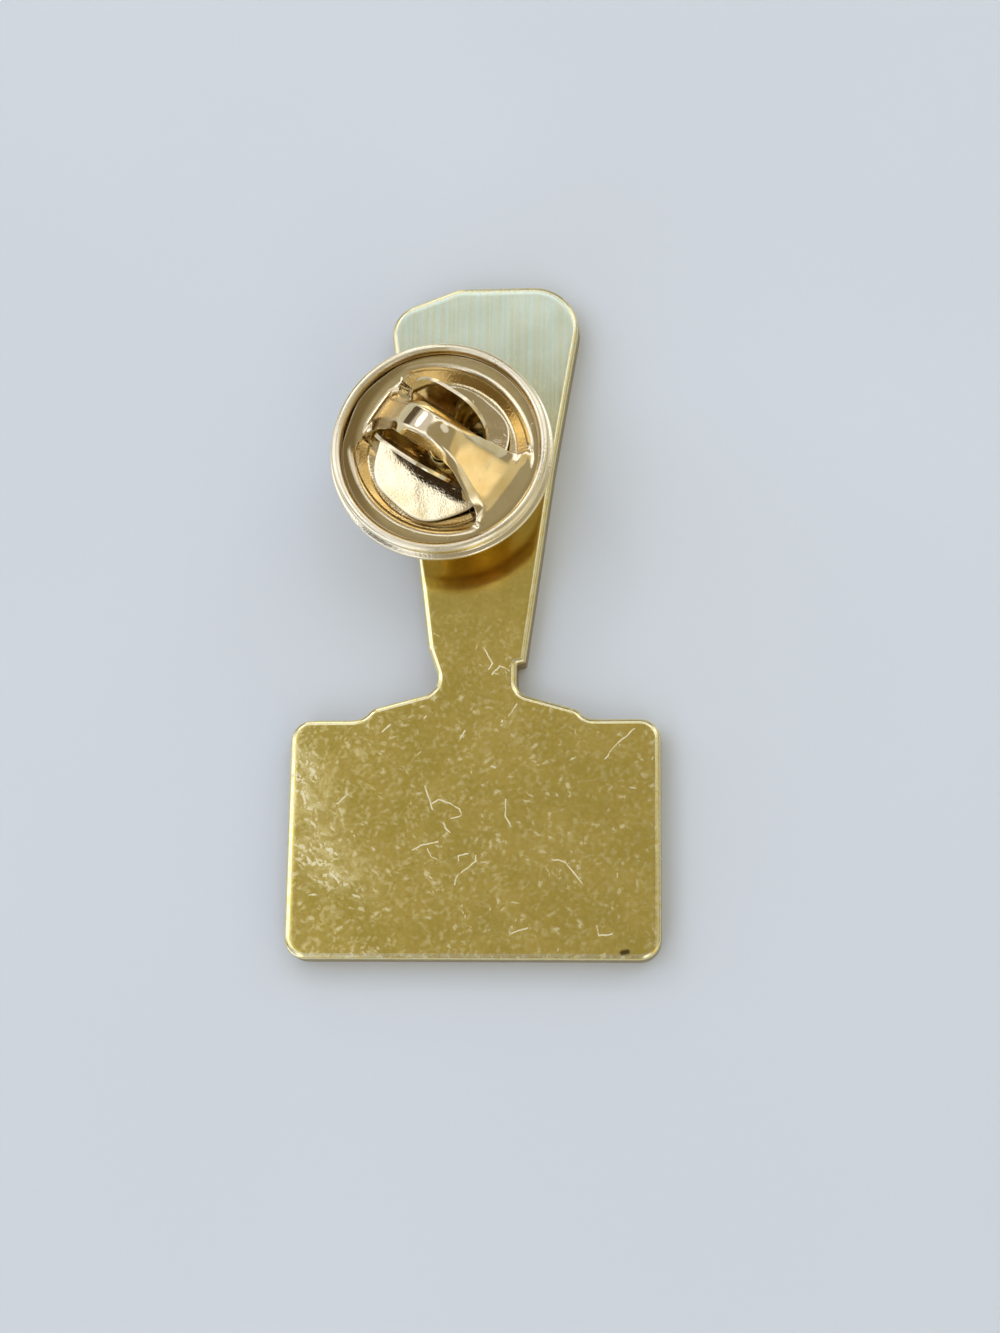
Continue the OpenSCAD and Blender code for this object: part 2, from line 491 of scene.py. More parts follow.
# the uneven pull of the press: its reach aside, then how far it moves each foot and from where on
PULL_REACH = 2.7
PULL_FADE = 1.1
WIDER = 0.35
WIDER_FROM = 1.6
NARROWER_NEAR = 0.3
NARROWER_FAR = 0.2
NARROWER_FROM = 1.2


def ease(x):
    """Smooth step from 0 to 1."""
    x = min(max(x, 0), 1)
    return x * x * (3 - 2 * x)


def ring_height(r):
    """Top of the ring, which is flat and dips under the bead."""
    start, end = RING_DIP
    return RING_HIGH + (RING_LOW - RING_HIGH) * ease((r - start) / (end - start))


def strap_height(u, share):
    """Top of the strap at u along it, and at a share of its half width across it."""
    if abs(u) < CREST_R * math.sin(LEG):
        z = crest_z - CREST_R + math.sqrt(CREST_R ** 2 - u ** 2)
    else:
        z = crest_z + CREST_R * (1 / math.cos(LEG) - 1) - abs(u) * math.tan(LEG)
    past = share - CURL_FROM
    return z - CROWN * share ** 2 - CURL * (past + math.hypot(past, CURL_SOFT)) / 2 / (1 - CURL_FROM)


def blend_up(a, b, width):
    """The higher of two heights, with a soft bend where they cross."""
    overlap = max(width - abs(a - b), 0) / width
    return max(a, b) + overlap ** 2 * width / 4


def foot_bend(u):
    """How softly the strap bends into the ring, which changes from the left foot to the right."""
    return LEFT_FOOT + (RIGHT_FOOT - LEFT_FOOT) * ease(u / 2 + 0.5)


def cap_height(u, v, share):
    """Top of the cap at a point of its plan, and at a share of the strap's half width."""
    return blend_up(strap_height(u, share), ring_height(math.hypot(u, v)), foot_bend(u))


def ring_top(u, v):
    """Top of the ring round the windows, where the strap's feet run out and fade away sideways."""
    foot_u = math.copysign(max(abs(u), END_X + END_R), u)
    share = min(abs(v) / END_Y, 1)
    fade = max(abs(v) - END_Y, 0)
    return blend_up(strap_height(foot_u, share) - fade, ring_height(math.hypot(u, v)), foot_bend(u))


def die_roll(from_edge, aside):
    """How far the punch drew the ring down beside a window, which fades out at the strap's feet."""
    share = max(1 - from_edge / DIE_ROLL_WIDTH, 0)
    return DIE_ROLL * share ** 2 * ease((aside - STRAP_SIDE) / STRAP_SIDE_FADE)


def drawn_out(u, v):
    """Where the uneven pull of the press leaves a point of the plan, which only moves near the strap."""
    near = ease((PULL_REACH - abs(v)) / PULL_FADE)
    wider = WIDER * ease((u - WIDER_FROM) / WIDER_FROM)
    narrower = (NARROWER_NEAR if v < 0 else NARROWER_FAR) * ease((-u - NARROWER_FROM) / NARROWER_FROM)
    return v + max(min(v, 1), -1) * near * (wider - narrower)


print("crest", round(cap_height(0, 0, 0), 2), "ring", round(ring_top(0, 5), 2), "mm above the dish")

# %% Build the cap
STRAP_ROWS = 28
RING_ROWS = 9
DIP_ROWS = 4
EDGE_SOFT = 0.06
EDGE_SEGMENTS = 3
EDGE_FROM = math.radians(60)


def build_cap():
    """Ring and strap as one sheet with the sheet's thickness below it."""
    bm = bmesh.new()
    columns = []
    for u, v_edge in window_near_edge():
        shares = [1 - 2 * k / STRAP_ROWS for k in range(STRAP_ROWS + 1)]
        spots = [(u, s * v_edge, cap_height(u, s * v_edge, abs(s))) for s in shares]
        columns.append([bm.verts.new(spot) for spot in spots])
    for left, right in zip(columns, columns[1:]):
        join_rings(bm, left, right, closed=False)
    far = window_far_edge()[1:-1]
    upper = [bm.verts.new((u, v, ring_top(u, v))) for u, v in far]
    lower = [bm.verts.new((-u, -v, ring_top(-u, -v))) for u, v in far]
    inner = upper + columns[0] + lower + list(reversed(columns[-1]))
    starts = [math.hypot(vert.co.x, vert.co.y) for vert in inner]
    ways = [(vert.co.x / r, vert.co.y / r) for vert, r in zip(inner, starts)]
    dip = [RING_DIP[0] + (RING_DIP[1] - RING_DIP[0]) * k / DIP_ROWS for k in range(1, DIP_ROWS + 1)]
    rows = [[r + (RING_DIP[0] - r) * k / RING_ROWS for r in starts] for k in range(1, RING_ROWS + 1)]
    rows += [[radius] * len(inner) for radius in (*dip, CAP_R)]
    below = inner
    for radii in rows:
        spots = [(r * x, r * y) for r, (x, y) in zip(radii, ways)]
        ring = [bm.verts.new((u, v, ring_top(u, v))) for u, v in spots]
        join_rings(bm, below, ring)
        for vert, first, r in zip(below, starts, radii):
            vert.co.z -= die_roll(math.hypot(vert.co.x, vert.co.y) - first, abs(vert.co.y))
        below = ring
    for vert in bm.verts:
        vert.co.y = drawn_out(vert.co.x, vert.co.y)
    return finish_mesh("clutch_cap_sheet", bm, CLUTCH_PLACE)


def thicken(piece, thickness, offset, soft):
    """Gives a sheet its thickness and rounds its cut edges."""
    sheet = piece.modifiers.new("sheet thickness", "SOLIDIFY")
    sheet.thickness = thickness * MM
    sheet.offset = offset
    sheet.use_even_offset = True
    edge = piece.modifiers.new("cut edges", "BEVEL")
    edge.width = soft * MM
    edge.segments = EDGE_SEGMENTS
    edge.limit_method = "ANGLE"
    edge.angle_limit = EDGE_FROM
    apply_modifiers(piece)


cap = build_cap()
thicken(cap, SHEET_T, -1, EDGE_SOFT)
stand_in(cap, "clutch_cap", "clutch")

# %% [markdown]
# ## The two finger wings
# Inside the clutch a flat spring is slit and bent up into two wings. Squeezing them opens the jaws
# round the post. A wing is a flat heel with a half-round bite for the post, and a leaning blade
# with big round corners that is slightly dished for the fingertip. Past the blade the heel slopes
# down nearly to the dish. It narrows towards its two ends, so they clear the strap's feet when the
# wing is squeezed. Heel and blade are two bent sheets that cross, so each is made as a sheet first,
# and a boolean joins them into one skin. Neither blade was slit quite in the middle: each stands a
# little to one side of its window.

# %% Build the wings
HEEL_Z = 0.7
HEEL_R = 3.7
HEEL_NARROW = 0.14
HEEL_BEND = 1.0
HEEL_FALL = math.tan(math.radians(7.8))
HEEL_SOFT = 0.3
HEEL_UNEVEN = 0.02
HEEL_WAVES = 7
HEEL_ROWS = 18
HEEL_COLUMNS = 60
WING_T = 0.2
JAW_EDGE = 0.35
BITE_R = POST_R + 0.07
BLADE_ROOT = 1.0
BLADE_LEAN = math.radians(14)
BLADE_W = 4.4
BLADE_FOOT_W = 4.9
BLADE_CORNER = 1.7
BLADE_CUP = 0.1
BLADE_CUP_FLAT = 0.4
BLADE_START = 0.06
BLADE_SOFT = 0.07
BLADE_ROWS = 26
BLADE_COLUMNS = 36
CORNER_TURN = 6
RIGHT_ASIDE = -0.25
LEFT_ASIDE = 0.3


def heel_height(v):
    """Middle of the heel's sheet: flat inside the blade, falling nearly to the dish outside it."""
    past = v - HEEL_BEND
    return HEEL_Z + WING_T / 2 - HEEL_FALL * (past + math.hypot(past, HEEL_SOFT)) / 2


def build_heel(name):
    """Half a disc with the bite for the post, in rows from the bite to the outside."""
    bm = bmesh.new()
    rows = []
    for k in range(HEEL_ROWS + 1):
        r = BITE_R + (HEEL_R - BITE_R) * k / HEEL_ROWS
        reach = math.degrees(math.asin(JAW_EDGE / r))
        row = []
        for u, v in arc((0, 0), r, reach, 180 - reach, HEEL_COLUMNS):
            wave = math.sin(HEEL_WAVES * math.atan2(v, u) + 1)
            grow = 1 + HEEL_UNEVEN * (k / HEEL_ROWS) ** 3 * wave
            grow -= HEEL_NARROW * (k / HEEL_ROWS) ** 2 * (u / math.hypot(u, v)) ** 4
            row.append(bm.verts.new((u * grow, v * grow, heel_height(v * grow))))
        rows.append(row)
    for inner, outer in zip(rows, rows[1:]):
        join_rings(bm, inner, outer, closed=False)
    piece = finish_mesh(name, bm, PLATE_PLACE)
    thicken(piece, WING_T, 0, EDGE_SOFT)
    return piece


def build_blade(name, off_middle):
    """The leaning blade: rows climb from the heel to the tip, and narrow round the top corners."""
    bm = bmesh.new()
    length = (wing_tip - HEEL_Z) / math.cos(BLADE_LEAN)
    straight = length - BLADE_CORNER
    rows = [(BLADE_START + (straight - BLADE_START) * k / BLADE_ROWS, 0) for k in range(BLADE_ROWS)]
    rows += [(straight, angle) for angle in range(0, 91, CORNER_TURN)]
    rings = []
    for base, angle in rows:
        up = base + BLADE_CORNER * math.sin(math.radians(angle))
        half = (BLADE_FOOT_W + (BLADE_W - BLADE_FOOT_W) * up / length) / 2
        half -= BLADE_CORNER * (1 - math.cos(math.radians(angle)))
        ring = []
        for k in range(BLADE_COLUMNS + 1):
            u = half * (2 * k / BLADE_COLUMNS - 1)
            out = BLADE_CUP * ((2 * u / BLADE_W) ** 2 - BLADE_CUP_FLAT) * ease(up / length)
            ring.append(bm.verts.new((
                u + off_middle,
                BLADE_ROOT + up * math.sin(BLADE_LEAN) - out * math.cos(BLADE_LEAN),
                HEEL_Z + up * math.cos(BLADE_LEAN) + out * math.sin(BLADE_LEAN),
            )))
        rings.append(ring)
    for lower, upper in zip(rings, rings[1:]):
        join_rings(bm, lower, upper, closed=False)
    piece = finish_mesh(name, bm, PLATE_PLACE)
    thicken(piece, WING_T, 0, BLADE_SOFT)
    return piece


def build_wing(name, turn, off_middle):
    """Heel and blade joined, turned to its side of the strap and put in the clutch."""
    wing = build_blade(name, off_middle)
    heel = build_heel(name + "_heel")
    weld = wing.modifiers.new("one sheet", "BOOLEAN")
    weld.operation = "UNION"
    weld.solver = "EXACT"
    weld.object = heel
    bpy.context.view_layer.update()
    apply_modifiers(wing)
    bpy.data.objects.remove(heel)
    wing.data.transform(CLUTCH_PLACE @ Matrix.Rotation(turn, 4, "Z") @ PLATE_PLACE.inverted())
    return wing


right_wing = build_wing("right_finger_wing", 0, RIGHT_ASIDE)
left_wing = build_wing("left_finger_wing", math.pi, LEFT_ASIDE)
stand_in(right_wing, "right_wing", "right_wing_lever")
stand_in(left_wing, "left_wing", "left_wing_lever")

# %% [markdown]
# ## Writing node trees
# A material is a small program, and it reads best when each step is one line. The helper below
# adds a node, sets its inputs to numbers or to other nodes' outputs, and hands back its output.
# Effects that more than one finish uses are then built once as node groups with named sockets.

# %% Node helpers
KIND = {"value": "NodeSocketFloat", "vector": "NodeSocketVector"}


class Tree:
    """Adds nodes to one tree and joins them."""

    def __init__(self, tree):
        self.tree = tree

    def node(self, kind, inputs=(), **settings):
        """A node of a kind, with inputs by name or number, and settings by name."""
        made = self.tree.nodes.new(kind)
        for name, value in settings.items():
            setattr(made, name, value)
        for name, value in dict(inputs).items():
            if isinstance(value, bpy.types.NodeSocket):
                self.tree.links.new(value, made.inputs[name])
            else:
                made.inputs[name].default_value = value
        return made

    def math(self, operation, *values, clamp=False):
        """A Math node's output."""
        made = self.node("ShaderNodeMath", enumerate(values), operation=operation, use_clamp=clamp)
        return made.outputs[0]

    def vector(self, operation, *values, output=0):
        """A Vector Math node's output."""
        return self.node("ShaderNodeVectorMath", enumerate(values), operation=operation).outputs[output]

    def step(self, value, low, high, to_low=0.0, to_high=1.0):
        """A smooth step of a value between two limits."""
        inputs = {"Value": value, "From Min": low, "From Max": high, "To Min": to_low, "To Max": to_high}
        return self.node("ShaderNodeMapRange", inputs, interpolation_type="SMOOTHSTEP").outputs["Result"]

    def mix(self, share, low, high):
        """A colour between two colours."""
        inputs = {0: share, 6: low, 7: high}
        return self.node("ShaderNodeMix", inputs, data_type="RGBA").outputs[2]

    def noise(self, place, scale, detail=2.0, roughness=0.5):
        """A noise value at a place."""
        inputs = {"Vector": place, "Scale": scale, "Detail": detail, "Roughness": roughness}
        return self.node("ShaderNodeTexNoise", inputs).outputs["Fac"]

    def bump(self, depth, height):
        """A normal bent by a height, with the depth in metres of a height of 1."""
        inputs = {"Strength": 1.0, "Distance": depth, "Height": height}
        return self.node("ShaderNodeBump", inputs).outputs["Normal"]

    def use(self, group, output, **inputs):
        """The named output of a group placed in this tree, its inputs named with _ for a space."""
        named = {name.replace("_", " "): value for name, value in inputs.items()}
        return self.node("ShaderNodeGroup", named, node_tree=group).outputs[output]

    def wobble(self, place, scale, reach):
        """A place moved a little, so that straight strokes come out as drawn by hand."""
        inputs = {"Vector": place, "Scale": scale, "Detail": 1.0}
        drift = self.node("ShaderNodeTexNoise", inputs).outputs["Color"]
        moved = self.vector("MULTIPLY", self.vector("SUBTRACT", drift, (0.5, 0.5, 0.5)), (reach, reach, 0))
        return self.vector("ADD", place, moved)


def new_group(name, inputs, outputs):
    """An empty node group with named sockets; an input row is name, kind and starting value."""
    group = bpy.data.node_groups.new(name, "ShaderNodeTree")
    for label, kind, value in inputs:
        group.interface.new_socket(label, in_out="INPUT", socket_type=KIND[kind]).default_value = value
    for label, kind in outputs:
        group.interface.new_socket(label, in_out="OUTPUT", socket_type=KIND[kind])
    tree = Tree(group)
    return tree, tree.node("NodeGroupInput").outputs, tree.node("NodeGroupOutput").inputs


def close_group(tree, ends, **values):
    """Joins a group's results to its outputs and gives the group."""
    for name, value in values.items():
        tree.tree.links.new(value, ends[name])
    print("node group", tree.tree.name, "with", len(tree.tree.nodes), "nodes")
    return tree.tree


# %% [markdown]
# ## Shared effects
# Plated metal is told by what breaks its shine. Rolling and brushing leave long fine lines,
# tumbling leaves short flecks in every direction, handling leaves single hairlines, rubbed patches
# and worn edges, and stamping leaves the surface slightly wavy. Each is a group that takes a place
# in millimetres and puts out a mask or a height, so it has its real scale on every piece.

# %% Group: place in millimetres
tree, start, ends = new_group("Place in millimetres", [], [("Place", "vector")])
coordinates = tree.node("ShaderNodeTexCoord").outputs["Object"]
PLACE = close_group(tree, ends, Place=tree.vector("MULTIPLY", coordinates, (1 / MM,) * 3))

# %% Group: brushed lines
tree, start, ends = new_group(
    "Brushed lines",
    [("Place", "vector", (0, 0, 0)), ("Line width", "value", 0.1), ("Line length", "value", 5)],
    [("Lines", "value")],
)
across = tree.math("DIVIDE", 1, start["Line width"])
along = tree.math("DIVIDE", 1, start["Line length"])
size = tree.node("ShaderNodeCombineXYZ", {"X": across, "Y": along, "Z": along}).outputs[0]
fine = tree.noise(tree.vector("MULTIPLY", start["Place"], size), 0.5, detail=3.0, roughness=0.65)
BRUSHED = close_group(tree, ends, Lines=tree.step(fine, 0.25, 0.75))

# %% Group: flecks
# Each cell of a Voronoi pattern gives one fleck: its colour gives a turn, a bend and a chance.
tree, start, ends = new_group(
    "Flecks",
    [("Place", "vector", (0, 0, 0)), ("Cell", "value", 1), ("Length", "value", 0.4),
     ("Width", "value", 0.05), ("Share", "value", 0.5), ("Turn", "value", 0), ("Spread", "value", math.pi)],
    [("Mask", "value")],
)
cell = tree.node("ShaderNodeCombineXYZ", {side: start["Cell"] for side in "XYZ"}).outputs[0]
scaled = tree.vector("DIVIDE", start["Place"], cell)
cells = tree.node("ShaderNodeTexVoronoi", {"Vector": scaled, "Scale": 1.0, "Randomness": 1.0},
                  voronoi_dimensions="2D")
offset = tree.vector("SCALE", tree.vector("SUBTRACT", scaled, cells.outputs["Position"]))
tree.tree.links.new(start["Cell"], offset.node.inputs["Scale"])
chance = tree.node("ShaderNodeSeparateColor", {0: cells.outputs["Color"]}).outputs
turn = tree.math("MULTIPLY_ADD", tree.math("SUBTRACT", chance[0], 0.5), start["Spread"], start["Turn"])
local = tree.node("ShaderNodeVectorRotate", {"Vector": offset, "Angle": turn},
                  rotation_type="Z_AXIS").outputs[0]
parts = tree.node("ShaderNodeSeparateXYZ", {0: local}).outputs
bend = tree.math("DIVIDE", tree.math("SUBTRACT", chance[1], 0.5), start["Length"])
curved = tree.math("MULTIPLY_ADD", tree.math("MULTIPLY", parts[0], parts[0]), bend, parts[1])
thin = tree.math("DIVIDE", tree.math("ABSOLUTE", curved), start["Width"])
long = tree.math("DIVIDE", tree.math("ABSOLUTE", parts[0]), start["Length"])
reached = tree.math("MULTIPLY", tree.step(thin, 1, 0.2), tree.step(long, 0.5, 0.1))
strong = tree.step(tree.math("DIVIDE", chance[2], start["Share"]), 1.0, 0.0)
broken = tree.step(tree.noise(start["Place"], 4.5, detail=1.0), 0.36, 0.58)
FLECKS = close_group(tree, ends, Mask=tree.math("MULTIPLY", tree.math("MULTIPLY", reached, strong), broken))

# %% Group: hairline
tree, start, ends = new_group(
    "Hairline",
    [("Place", "vector", (0, 0, 0)), ("From", "vector", (0, 0, 0)), ("To", "vector", (1, 0, 0)),
     ("Width", "value", 0.05)],
    [("Mask", "value")],
)
flat = tree.vector("MULTIPLY", start["Place"], (1, 1, 0))
reach = tree.vector("SUBTRACT", flat, start["From"])
line = tree.vector("SUBTRACT", start["To"], start["From"])
share = tree.math("DIVIDE", tree.vector("DOT_PRODUCT", reach, line, output=1),
                  tree.vector("DOT_PRODUCT", line, line, output=1), clamp=True)
nearest = tree.vector("SCALE", line)
tree.tree.links.new(share, nearest.node.inputs["Scale"])
away = tree.vector("LENGTH", tree.vector("SUBTRACT", reach, nearest), output=1)
HAIRLINE = close_group(tree, ends, Mask=tree.step(tree.math("DIVIDE", away, start["Width"]), 1, 0.25))

# %% Group: rubbed patch
tree, start, ends = new_group(
    "Rubbed patch",
    [("Place", "vector", (0, 0, 0)), ("Middle", "vector", (0, 0, 0)), ("Turn", "value", 0),
     ("Half length", "value", 1), ("Half width", "value", 0.5)],
    [("Mask", "value")],
)
flat = tree.vector("SUBTRACT", tree.vector("MULTIPLY", start["Place"], (1, 1, 0)), start["Middle"])
local = tree.node("ShaderNodeVectorRotate", {"Vector": flat, "Angle": start["Turn"]},
                  rotation_type="Z_AXIS").outputs[0]
halves = {"X": start["Half length"], "Y": start["Half width"], "Z": 1.0}
size = tree.node("ShaderNodeCombineXYZ", halves).outputs[0]
away = tree.vector("LENGTH", tree.vector("DIVIDE", local, size), output=1)
drawn = tree.wobble(local, 1.1, 0.5)
long = tree.use(FLECKS, "Mask", Place=drawn, Cell=0.85, Length=1.3, Width=0.13, Share=1.4, Spread=0.7)
short = tree.use(FLECKS, "Mask", Place=drawn, Cell=0.55, Length=1.2, Width=0.14, Share=1.3, Spread=1.1)
haze = tree.step(tree.noise(drawn, 1.2, detail=3.0, roughness=0.7), 0.35, 0.75, 0, 0.3)
strokes = tree.math("MAXIMUM", tree.math("MAXIMUM", long, tree.math("MULTIPLY", short, 0.7)), haze)
ragged = tree.math("MULTIPLY_ADD", tree.noise(local, 0.9, detail=2.0), 1.1, away)
inside = tree.step(ragged, 1.8, 0.8, 0, 1.5)
RUBBED = close_group(tree, ends, Mask=tree.math("MULTIPLY", strokes, inside, clamp=True))

# %% Group: waviness
tree, start, ends = new_group(
    "Waviness",
    [("Place", "vector", (0, 0, 0)), ("Size", "value", 2)],
    [("Height", "value")],
)
scale = tree.math("DIVIDE", 1, start["Size"])
WAVY = close_group(tree, ends, Height=tree.noise(start["Place"], scale, detail=1.0))

# %% Group: worn edge
tree, start, ends = new_group(
    "Worn edge",
    [("Place", "vector", (0, 0, 0)), ("Patch size", "value", 0.3)],
    [("Mask", "value")],
)
edge = tree.node("ShaderNodeAttribute", attribute_name="edge").outputs["Fac"]
patches = tree.noise(start["Place"], tree.math("DIVIDE", 1, start["Patch size"]), detail=2.0)
rubbed = tree.step(patches, 0.25, 0.6, 0.35, 1.0)
EDGE_WEAR = close_group(tree, ends, Mask=tree.math("MULTIPLY", tree.step(edge, 0.25, 0.75), rubbed))

# %% [markdown]
# ## Gold of the plate
# The plate is brass with a flash of pale gold. Its back was never polished: brushed lines run up
# the handle to a head that is also painted paler, a painted reflection of the bright far side. The
# body is covered in short flecks from tumbling, and a few hairlines and two rubbed patches catch
# the light; the marks are painted lighter as painted sheen. The rolled edge is painted paler, partly
# wear and partly a painted highlight. The sheared wall is rougher, and darkened to brown as painted
# shade. The gold itself changes little, so most of the look comes from roughness and a very shallow
# bump. Hairlines are a short table of strokes, each a run of points on the back. The marks stay out
# of the bump, whose height would otherwise need more values at once than the renderer can hold.

# %% Table of hairlines
HAIRLINES = [
    # points in mm on the back
    [(-2.5, -9.3), (-2.3, -9.9), (-2.1, -10.5)],
    [(-2.1, -10.2), (-1.8, -10.0), (-1.2, -10.2), (-0.7, -10.5), (-0.6, -10.8), (-1.1, -11.0)],
    [(-1.5, -11.2), (-1.4, -11.5), (-1.2, -11.7)],
    [(-3.1, -12.6), (-2.7, -12.4), (-1.8, -12.2)],
    [(-2.3, -12.6), (-2.1, -13.0), (-1.8, -13.1)],
    [(-0.9, -14.4), (-0.7, -13.9), (0.2, -13.2), (0.2, -12.9)],
    [(-0.7, -13.2), (-0.7, -12.9), (-0.2, -12.8)],
    [(4.1, -13.1), (4.7, -13.2), (5.3, -13.9), (5.7, -14.4)],
    [(6.8, -7.9), (7.3, -7.2), (8.3, -6.3)],
    [(1.7, -10.0), (1.7, -10.9), (2.0, -11.4)],
    [(6.4, -16.5), (6.5, -17.0), (7.2, -16.9)],
    [(0.4, -1.9), (0.9, -2.8), (0.7, -3.1)],
    [(0.9, -3.4), (1.3, -2.9), (1.8, -3.2)],
    [(-4.8, -6.4), (-4.4, -6.0)],
    [(-7.1, -10.2), (-6.5, -9.7)],
    [(2.1, -16.9), (2.9, -16.6)],
    [(-0.8, -6.9), (-0.5, -6.4)],
    [(1.8, -5.6), (2.2, -5.0)],
]
strokes = [(a, b) for run in HAIRLINES for a, b in zip(run, run[1:])]
print(len(HAIRLINES), "hairlines in", len(strokes), "strokes")

# %% Plate material
PLATE_GOLD = (0.92, 0.68, 0.14, 1)
PLATE_OLIVE = (0.78, 0.58, 0.09, 1)
PLATE_PALE_SHEEN = (0.68, 0.85, 0.72, 1)
PLATE_MARK_SHEEN = (0.95, 0.88, 0.58, 1)
PLATE_WORN_SHEEN = (0.86, 0.76, 0.40, 1)
WALL_PAINTED_SHADE = (0.42, 0.31, 0.13, 1)
NICK_DARK = (0.10, 0.07, 0.03, 1)
NICK = ((7.7, -17.85, 0), (7.95, -17.8, 0))
NICK_WIDTH = 0.2
HAIR_WIDTH = 0.055
RUBBED_PATCHES = [
    # middle in mm on the back, turn, half length, half width
    ((-8.5, -9.2, 0), 1.1, 3.3, 1.5),
    ((-7.1, -13.3, 0), 0.6, 2.8, 1.6),
]
BACK_FROM = 0.6 * plate_t
WALL_FADE = 0.15
PLATE_ROUGH = 0.13
# what each effect adds to the roughness
BRUSHED_ROUGH = 0.08
MARKS_ROUGH = 0.35
WORN_ROUGH = 0.08
WALL_ROUGH = 0.25
# the bump's depth in metres, and how high each effect stands as a share of it
PLATE_BUMP = 0.008 * MM
LINES_HIGH = 0.06
BROAD_HIGH = 0.25
MOTTLE_HIGH = 0.12
WAVE_HIGH = 2.0


def material(name):
    """A new material with its tree, its shader and the place in millimetres."""
    made = bpy.data.materials.new(name)
    made.use_nodes = True
    tree = Tree(made.node_tree)
    shader = made.node_tree.nodes["Principled BSDF"]
    return made, tree, shader, tree.use(PLACE, "Place")


def plated(tree, shader, colour, rough, normal):
    """Joins colour, roughness and normal to the shader of a metal."""
    for name, value in (("Base Color", colour), ("Roughness", rough), ("Normal", normal)):
        tree.tree.links.new(value, shader.inputs[name])
    shader.inputs["Metallic"].default_value = 1.0


def plate_marks(tree, place, body):
    """Masks of the flecks, the hairlines and the rubbed patches on the back."""
    drawn = tree.wobble(place, 0.9, 0.6)
    fine = tree.use(FLECKS, "Mask", Place=drawn, Cell=0.25, Length=0.6, Width=0.36, Share=0.75)
    medium = tree.use(FLECKS, "Mask", Place=drawn, Cell=0.5, Length=0.7, Width=0.18, Share=0.55)
    few = tree.use(FLECKS, "Mask", Place=drawn, Cell=1.5, Length=0.6, Width=0.06, Share=0.4)
    flecks = tree.math("MAXIMUM", tree.math("MULTIPLY", fine, 0.26), tree.math("MULTIPLY", medium, 0.5))
    flecks = tree.math("MULTIPLY", tree.math("MAXIMUM", flecks, few), body)
    hair = None
    drawn = tree.wobble(place, 2.5, 0.14)
    for a, b in strokes:
        mask = tree.use(HAIRLINE, "Mask", Place=drawn, From=(*a, 0), To=(*b, 0), Width=HAIR_WIDTH)
        hair = mask if hair is None else tree.math("MAXIMUM", hair, mask)
    hair = tree.math("MULTIPLY", hair, tree.step(tree.noise(place, 3.0), 0.3, 0.55, 0.35, 1.0))
    rubbed = [
        tree.use(RUBBED, "Mask", Place=place, Middle=middle, Turn=turn, Half_length=length, Half_width=width)
        for middle, turn, length, width in RUBBED_PATCHES
    ]
    return flecks, hair, tree.math("MAXIMUM", *rubbed)


